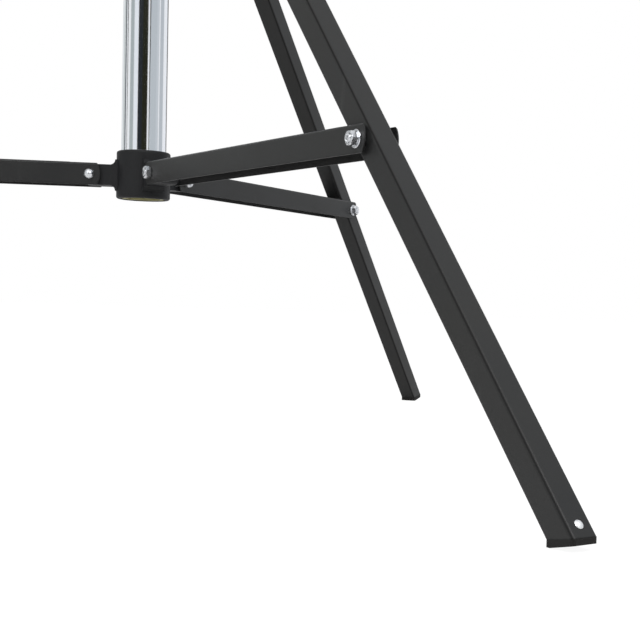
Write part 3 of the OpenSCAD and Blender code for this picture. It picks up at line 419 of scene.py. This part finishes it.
def washer_and_nut(piece, seat, twist=0.0):
    """A nut on a punched washer, whose upper outer edge is rounded by the punch."""
    bore = bolt_r + seat_gap
    piece.turn(seat, [(bore, 0), (washer_r - punched_edge, 0), (washer_r, punched_edge),
                      (washer_r, washer_t - burred_edge), (washer_r - burred_edge, washer_t),
                      (bore + punched_edge, washer_t)], 48, closed=True)
    nut(piece, seat @ step(washer_t) @ Matrix.Rotation(twist, 4, "Z"))


for number, azimuth in enumerate(leg_azimuths, 1):
    pivot = around(azimuth, pivot_r + brace_len, pivot_z)
    bolt = Piece(f"leg_bolt_{number}_turned")
    domed_head(bolt, pivot @ Matrix.Translation((0, brace_half, 0)) @ toward_head)
    shank(bolt, pivot @ toward_nut, -brace_half, brace_half)
    threaded_tail(bolt, pivot @ toward_nut, brace_half, brace_half + washer_t + nut_h + tail_out)
    washer_and_nut(bolt, pivot @ toward_nut @ step(brace_half), leg_nut_twist*number)
    for direction in (toward_head, toward_nut):
        spacer(bolt, pivot @ direction @ step(leg_spacer_at), leg_spacer_len)
    bolt.finish(zinc_metal, f"brace_{number}", "zinc", f"leg_bolt_{number}")

# Foot caps: injection-moulded black plastic with a fine spark-eroded grain, pushed into the legs.
# A bright aluminium rivet with a domed head, drawn smooth and left bare, holds each cap.
moulded = Finish("black_moulded_plastic")
grain = moulded.noise(1300.0, 3.0)
flow = moulded.noise(40.0, 2.0)
plastic = moulded.surface(
    Base_Color=moulded.mix(flow, (0.0052, 0.0047, 0.0042, 1), (0.0095, 0.0088, 0.0080, 1)),
    Metallic=0.0,
    Specular_IOR_Level=0.2,
    Roughness=moulded.span(flow + grain*0.3, 0.4, 0.9, 0.42, 0.6),
    Normal=moulded.bump(grain, 0.00015, 0.5))
dress(plastic, "foot_cap_1", "foot_cap_2", "foot_cap_3")
bare = Finish("bare_aluminium")
drawn = bare.noise(260.0, 3.0)
bare_aluminium = bare.surface(
    Base_Color=bare.mix(drawn, (0.93, 0.935, 0.94, 1), (0.84, 0.845, 0.85, 1)),
    Metallic=1.0,
    Roughness=bare.span(drawn, 0.3, 0.7, 0.38, 0.52),
    Normal=bare.bump(drawn, 0.00003, 0.4))
dress(bare_aluminium, "foot_rivet_1", "foot_rivet_2", "foot_rivet_3")

# Upper hub: a sprayed collar with three pairs of ears that slides on the column in a nylon liner.
# The legs hang in the ears on bolts that end in the ears, so that the legs can fold.
dress(cast_paint, "upper_hub")
nylon = Finish("turned_nylon")
rings = nylon.node("ShaderNodeTexWave", {"bands_direction": "Z"},
                   {"Vector": nylon.place(), "Scale": 320.0, "Distortion": 0.4}, "Fac")
nylon_plastic = nylon.surface(
    Base_Color=nylon.mix(nylon.noise(30.0), (0.045, 0.045, 0.048, 1), (0.062, 0.062, 0.066, 1)),
    Metallic=0.0,
    Roughness=nylon.span(rings, 0.0, 1.0, 0.42, 0.55),
    Normal=nylon.bump(rings, 0.00003, 0.4))
dress(nylon_plastic, "hub_liner")

slider_z, ear_out, ear_t = 0.861693, 0.01935, 0.006
upper_bolts = Piece("upper_hub_bolts_turned")
for azimuth in leg_azimuths:
    pivot = around(azimuth, pivot_r, slider_z)
    domed_head(upper_bolts, pivot @ Matrix.Translation((0, ear_out, 0)) @ toward_head)
    for direction in (toward_head, toward_nut):
        shank(upper_bolts, pivot @ direction, ear_out - ear_t, ear_out)
    threaded_tail(upper_bolts, pivot @ toward_nut, ear_out, ear_out + washer_t + nut_h + tail_out)
    washer_and_nut(upper_bolts, pivot @ toward_nut @ step(ear_out))
upper_bolts.finish(zinc_metal, "upper_hub", "zinc", "upper_hub_bolts")

# Clamp knobs: moulded lobed knobs on zinc-plated screws, one each in the hub, the collar and the socket.
# The lobes are rounded, and the face is dished round a raised boss.
knob_lobes, knob_r, knob_t, collar_t = 6, 0.0215, 0.012, 0.006
lobe_depth_share, lobe_bluntness = 0.17, 1.4
screw_r, screw_chamfer, screw_sunk = 0.005, 0.0008, 0.001


def lobed(angle, radius):
    """Outline of the knob: waists between the lobes get shallower toward its middle."""
    wave = 0.5 - 0.5*math.cos(angle*knob_lobes)
    return radius*(1 - lobe_depth_share*(wave**lobe_bluntness)*min(1, radius/knob_r)**2)


def clamp_knob(node, body, direction):
    low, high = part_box(node)
    tip = high.y if direction < 0 else low.y
    base = (low.y if direction < 0 else high.y) - direction*(knob_t + collar_t)
    out = Matrix.Rotation(math.radians(-90*direction), 4, "X")
    seat = Matrix.Translation((0, base, (low.z + high.z)/2)) @ out
    collar = [(0, 0), (0.0074, 0), (0.008, 0.0006), (0.0082, 0.0045), (0.0105, collar_t)]
    rim = [(knob_r - 0.003, 0.0001), (knob_r - 0.0012, 0.0009), (knob_r, 0.0032), (knob_r, 0.0075),
           (knob_r - 0.0008, 0.0098), (knob_r - 0.0026, 0.0114), (knob_r - 0.005, 0.0118)]
    dish_and_boss = [(0.0125, 0.0106), (0.0095, 0.0103), (0.0088, 0.0112), (0.0075, 0.0119),
                     (0.004, knob_t), (0, knob_t)]
    knob = Piece(node + "_moulded")
    lobes = [(radius, collar_t + height) for radius, height in rim + dish_and_boss]
    knob.turn(seat, collar + lobes, 120, outline=lobed)
    knob.finish(plastic, body, "black_plastic", node)
    screw_len = abs(base - tip)
    screw = Piece(node + "_screw")
    screw.turn(seat, [(0, screw_sunk), (screw_r, screw_sunk), (screw_r, -screw_len + screw_chamfer),
                      (screw_r - screw_chamfer, -screw_len), (0, -screw_len)], 32)
    screw.finish(zinc_metal, body, "zinc")


clamp_knob("hub_clamp_knob", "hub_knob", -1)

# Winch: a folded sheet frame bolted to the column by two split saddles, with a geared drum for the rope.
# Gears, shafts and brake disc are zinc-plated steel; the drum is a painted casting.
dress(sheet_paint, "winch_frame")
dress(cast_paint, "winch_saddle", "winch_drum")
dress(zinc_metal, "drum_gear", "drum_axle", "crank_shaft", "crank_pinion", "brake_disc")
saddle_bolt_x, saddle_heights = 0.044, (1.7812, 1.8512)
frame_back, frame_t = 0.0315, 0.003
frame_front = frame_back + frame_t
winch_set = Piece("winch_bolts_turned")
for height in saddle_heights:
    for side in (-1, 1):
        place = Matrix.Translation(column_axis + Vector((side*saddle_bolt_x, 0, height)))
        domed_head(winch_set, place @ Matrix.Translation((0, frame_back, 0)) @ toward_head)
        washer_and_nut(winch_set, place @ toward_nut @ step(frame_front))
        shank(winch_set, place @ toward_nut, -frame_back, frame_front)
        threaded_tail(winch_set, place @ toward_nut, frame_front, frame_front + washer_t + nut_h + tail_out)
winch_set.finish(zinc_metal, "column", "zinc", "winch_bolts")

# Brake pad: pressed fibre with short pale fibres, riveted to the frame beside the brake disc.
# It holds the load when the crank is let go.
fibre = Finish("pressed_fibre")
fibres = fibre.noise(500.0, 5.0, (1.0, 0.2, 1.0))
fibre_pad = fibre.surface(
    Base_Color=fibre.mix(fibre.span(fibres, 0.42, 0.6), (0.13, 0.085, 0.045, 1), (0.30, 0.22, 0.14, 1)),
    Metallic=0.0,
    Roughness=fibre.span(fibres, 0.3, 0.7, 0.75, 0.9),
    Normal=fibre.bump(fibres, 0.0001, 0.6))
dress(fibre_pad, "brake_pad")

# Hoist rope: six strands of galvanised wire, wound on the drum and led over the head's pulley.
# The unseen run inside the column keeps its plain form.
wire = Finish("galvanised_wire")
wire_metal = wire.surface(
    Base_Color=wire.mix(wire.noise(400.0), (0.50, 0.505, 0.52, 1), (0.34, 0.34, 0.35, 1)),
    Metallic=1.0,
    Roughness=wire.span(wire.noise(900.0), 0.3, 0.7, 0.3, 0.5),
    Normal=wire.bump(wire.noise(1500.0, 2.0, (1.0, 1.0, 0.4)), 0.00006, 0.7))
dress(wire_metal, "rope_drop")
rope_r, rope_lay, strands, strand_sides = 0.0015, 0.019, 6, 6
drum_z, drum_rope_r, rope_pitch, rope_turns, first_turn_x = 1.805, 0.0195, 0.0035, 4, -0.0036
pulley_r, pulley_z, rope_drop_r = 0.0161, 1.947, 0.02325
pulley_y = rope_drop_r + pulley_r
riser_y = rope_drop_r + 2*pulley_r
drum_y = riser_y + drum_rope_r
drum_steps, riser_steps, pulley_steps = 90, 110, 44


def across(path, i):
    """The two directions square to a path at its point i."""
    along = (path[min(i + 1, len(path) - 1)] - path[max(i - 1, 0)]).normalized()
    first = along.cross(Vector((1, 0, 0))).normalized()
    return first, along.cross(first)


def lay_strand(rope, path, radius):
    """Runs a round strand along a path, closed at both ends."""
    rings = []
    for i, point in enumerate(path):
        first, second = across(path, i)
        ring = []
        for side in range(strand_sides):
            angle = math.tau*side/strand_sides
            ring.append(point + radius*(first*math.cos(angle) + second*math.sin(angle)))
        rings.append(ring)
    rope.skin([[path[0]]] + rings + [[path[-1]]])


def stranded(name, body, path, node):
    """Six strands laid round a core along the path."""
    rope = Piece(name)
    length = 0.0
    twists = [0.0]
    for before, after in zip(path, path[1:]):
        length += (after - before).length
        twists.append(math.tau*length/rope_lay)
    strand_r = rope_r/3
    for strand in range(strands):
        line = []
        for i, point in enumerate(path):
            first, second = across(path, i)
            angle = twists[i] + math.tau*strand/strands
            line.append(point + (rope_r - strand_r)*(first*math.cos(angle) + second*math.sin(angle)))
        lay_strand(rope, line, strand_r*1.04)
    lay_strand(rope, path, rope_r*0.5)
    rope.finish(wire_metal, body, "wire_rope", node)


def by_winch(x, y, z):
    """A place in the winch's own frame, whose Y points away from the column."""
    return Vector((x, column_axis.y - y, z))


winding = []
for i in range(rope_turns*drum_steps + 1):
    turn = i/drum_steps
    winding.append(by_winch(first_turn_x - rope_pitch*turn, drum_y - drum_rope_r*math.cos(math.tau*turn),
                            drum_z - drum_rope_r*math.sin(math.tau*turn)))
stranded("drum_rope_stranded", "drum", winding, "drum_rope")
riser = [by_winch(0, riser_y, drum_z + (pulley_z - drum_z)*i/riser_steps) for i in range(riser_steps)]
over = []
for i in range(pulley_steps + 1):
    angle = math.pi*i/pulley_steps
    over.append(by_winch(0, pulley_y + pulley_r*math.cos(angle), pulley_z + pulley_r*math.sin(angle)))
stranded("hoist_rope_stranded", "column", riser + over, "hoist_rope")

# Crank: a chromed flat arm with a moulded grip that turns on its pin, and a nut on the shaft's end.
# The grip is swollen for the palm and has five shallow rings against slipping.
dress(chrome_metal, "crank_arm")
dress(zinc_metal, "crank_nut", "grip_pin")
swell_shares = ((0, 0.72), (0.03, 0.85), (0.12, 0.9), (0.3, 1), (0.55, 0.97), (0.8, 0.82), (0.92, 0.8),
                (0.97, 0.76), (1, 0.6))
ring_shares, ring_width_share, ring_depth = (0.26, 0.35, 0.44, 0.53, 0.62), 0.016, 0.0007
grip_bore, grip_rows = 0.00456, 150


def grip_radius(share, full):
    """Radius at a share of the grip's length: the swell, less the rings."""
    for (start, first), (end, second) in zip(swell_shares, swell_shares[1:]):
        if share <= end:
            radius = full*(first + (second - first)*(share - start)/(end - start))
            break
    for place in ring_shares:
        away = abs(share - place)/ring_width_share
        if away < 1:
            radius -= ring_depth*(0.5 + 0.5*math.cos(math.pi*away))
    return radius


low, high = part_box("crank_grip")
grip_r, grip_len = (high.z - low.z)/2, high.x - low.x
outside = [(grip_radius(i/grip_rows, grip_r), grip_len*i/grip_rows) for i in range(grip_rows + 1)]
grip_foot = Matrix.Translation((low.x, (low.y + high.y)/2, (low.z + high.z)/2))
grip = Piece("crank_grip_moulded")
grip.turn(grip_foot @ Matrix.Rotation(math.radians(90), 4, "Y"),
          [(grip_bore, 0)] + outside + [(grip_bore, grip_len)], 64, closed=True)
grip.finish(plastic, "grip", "black_plastic", "crank_grip")

# Column head: a casting that caps the column, guides the mast and carries the rope pulley.
# The guide below it is a nylon bush with a slot for the rope.
dress(cast_paint, "column_head")
dress(nylon_plastic, "column_guide")
dress(zinc_metal, "pulley", "pulley_pin")

# Masts: two chromed tubes that run in each other on nylon sliders.
# The middle one is lifted by the winch, the top one is drawn out by hand and clamped in the collar.
dress(chrome_metal, "middle_mast", "top_mast")
dress(nylon_plastic, "middle_slider", "top_slider")
dress(cast_paint, "middle_collar", "top_socket")
clamp_knob("middle_clamp_knob", "middle_knob", 1)
clamp_knob("socket_knob", "top_knob", -1)

# Studio: a white floor and a white surround, with dark and grey cards that only mirrors see.
# Seen directly the floor and the surround are plain white; the floor keeps a faint shadow.
floor_half, floor_drop = 14.0, 0.0005
corners = [(-floor_half, -floor_half, 0), (floor_half, -floor_half, 0),
           (floor_half, floor_half, 0), (-floor_half, floor_half, 0)]
floor_mesh = bpy.data.meshes.new("floor")
floor_mesh.from_pydata(corners, [], [(0, 1, 2, 3)])
floor = bpy.data.objects.new("floor", floor_mesh)
bpy.context.collection.objects.link(floor)
floor.location.z = -floor_drop
white = Finish("white_floor")
seen = white.node("ShaderNodeLightPath", output="Is Camera Ray")
glow = white.node("ShaderNodeEmission", (), {"Color": (1, 1, 1, 1), "Strength": 1.155})
matt = white.node("ShaderNodeBsdfDiffuse", (), {"Color": (0.86, 0.86, 0.86, 1)})
bright = white.node("ShaderNodeMixShader", (), {0: seen*0.8, 1: matt, 2: glow})
floor_mesh.materials.append(white.close(bright))

card_distance, card_foot, card_head, high_card_head, card_panels = 4.5, -0.4, 6, 16, 8


def card(name, shade, azimuth_from, azimuth_to, low, high):
    """An upright card that stands round the column and is seen in mirrors only."""
    points, faces = [], []
    for i in range(card_panels + 1):
        azimuth = azimuth_from + (azimuth_to - azimuth_from)*i/card_panels
        spot = around(azimuth, card_distance).translation
        points += [(spot.x, spot.y, low), (spot.x, spot.y, high)]
    for i in range(card_panels):
        faces.append((2*i, 2*i + 2, 2*i + 3, 2*i + 1))
    data = bpy.data.meshes.new(name)
    data.from_pydata(points, [], faces)
    look = Finish(name)
    shine = look.node("ShaderNodeEmission", (), {"Color": shade + (1,), "Strength": 1.0})
    data.materials.append(look.close(shine))
    made = bpy.data.objects.new(name, data)
    bpy.context.collection.objects.link(made)
    made.visible_camera = made.visible_diffuse = made.visible_shadow = False
    made.visible_transmission = made.visible_volume_scatter = False


for name, shade, start, end in (
        ("rim_card", (0.67, 0.70, 0.69), -196, -175),
        ("dark_line_card", (0.15, 0.16, 0.17), -174, -163),
        ("left_card", (0.46, 0.50, 0.50), -134, -112),
        ("left_bright_card", (0.92, 0.94, 0.97), -111, -90),
        ("blue_dark_card", (0.022, 0.025, 0.029), -88.7, -66),
        ("olive_dark_card", (0.022, 0.022, 0.013), -66, -39.5),
        ("right_card", (0.57, 0.605, 0.63), -27, 8),
        ("right_pale_card", (0.64, 0.67, 0.70), 8, 22),
        ("right_dim_card", (0.56, 0.59, 0.62), 28, 62),
        ("right_rim_card", (0.97, 0.98, 1.0), 64, 92),
        ("back_dark_card", (0.05, 0.05, 0.06), 100, 126),
        ("back_card", (0.55, 0.58, 0.62), 128, 150)):
    card(name, shade, start, end, card_foot, card_head)
card("high_dim_card", (0.38, 0.41, 0.44), 55, 125, card_head, high_card_head)

surround = Finish("surround", bpy.data.worlds.new("surround"))
bpy.context.scene.world = surround.owner
camera_ray = surround.node("ShaderNodeLightPath", output="Is Camera Ray")
glossy_ray = surround.node("ShaderNodeLightPath", output="Is Glossy Ray")
soft = surround.node("ShaderNodeBackground", (), {"Color": (1, 1, 1, 1), "Strength": 0.55})
backdrop = surround.node("ShaderNodeBackground", (), {"Color": (1, 1, 1, 1), "Strength": 1.0})
blend = surround.node("ShaderNodeMixShader", (), {0: camera_ray + glossy_ray, 1: soft, 2: backdrop})
surround.node("ShaderNodeOutputWorld", (), {"Surface": blend})


def lamp(name, size, power, place, target):
    """A square soft box that points at its target."""
    data = bpy.data.lights.new(name, "AREA")
    data.size = size
    data.energy = power
    made = bpy.data.objects.new(name, data)
    bpy.context.collection.objects.link(made)
    made.location = place
    made.rotation_euler = (Vector(target) - Vector(place)).to_track_quat("-Z", "Y").to_euler()
    return made


lamp("key_lamp", 1.6, 55, (2.6, -1.6, 2.6), (0.1, -0.2, 0.5))
lamp("front_lamp", 1.6, 54, (0.5, -3.5, 2.9), (0, -0.2, 0.4))
lamp("fill_lamp", 2.0, 22, (-2.6, -2.4, 1.8), (0, -0.2, 0.7)).visible_glossy = False

bpy.context.scene.view_settings.view_transform = "Standard"
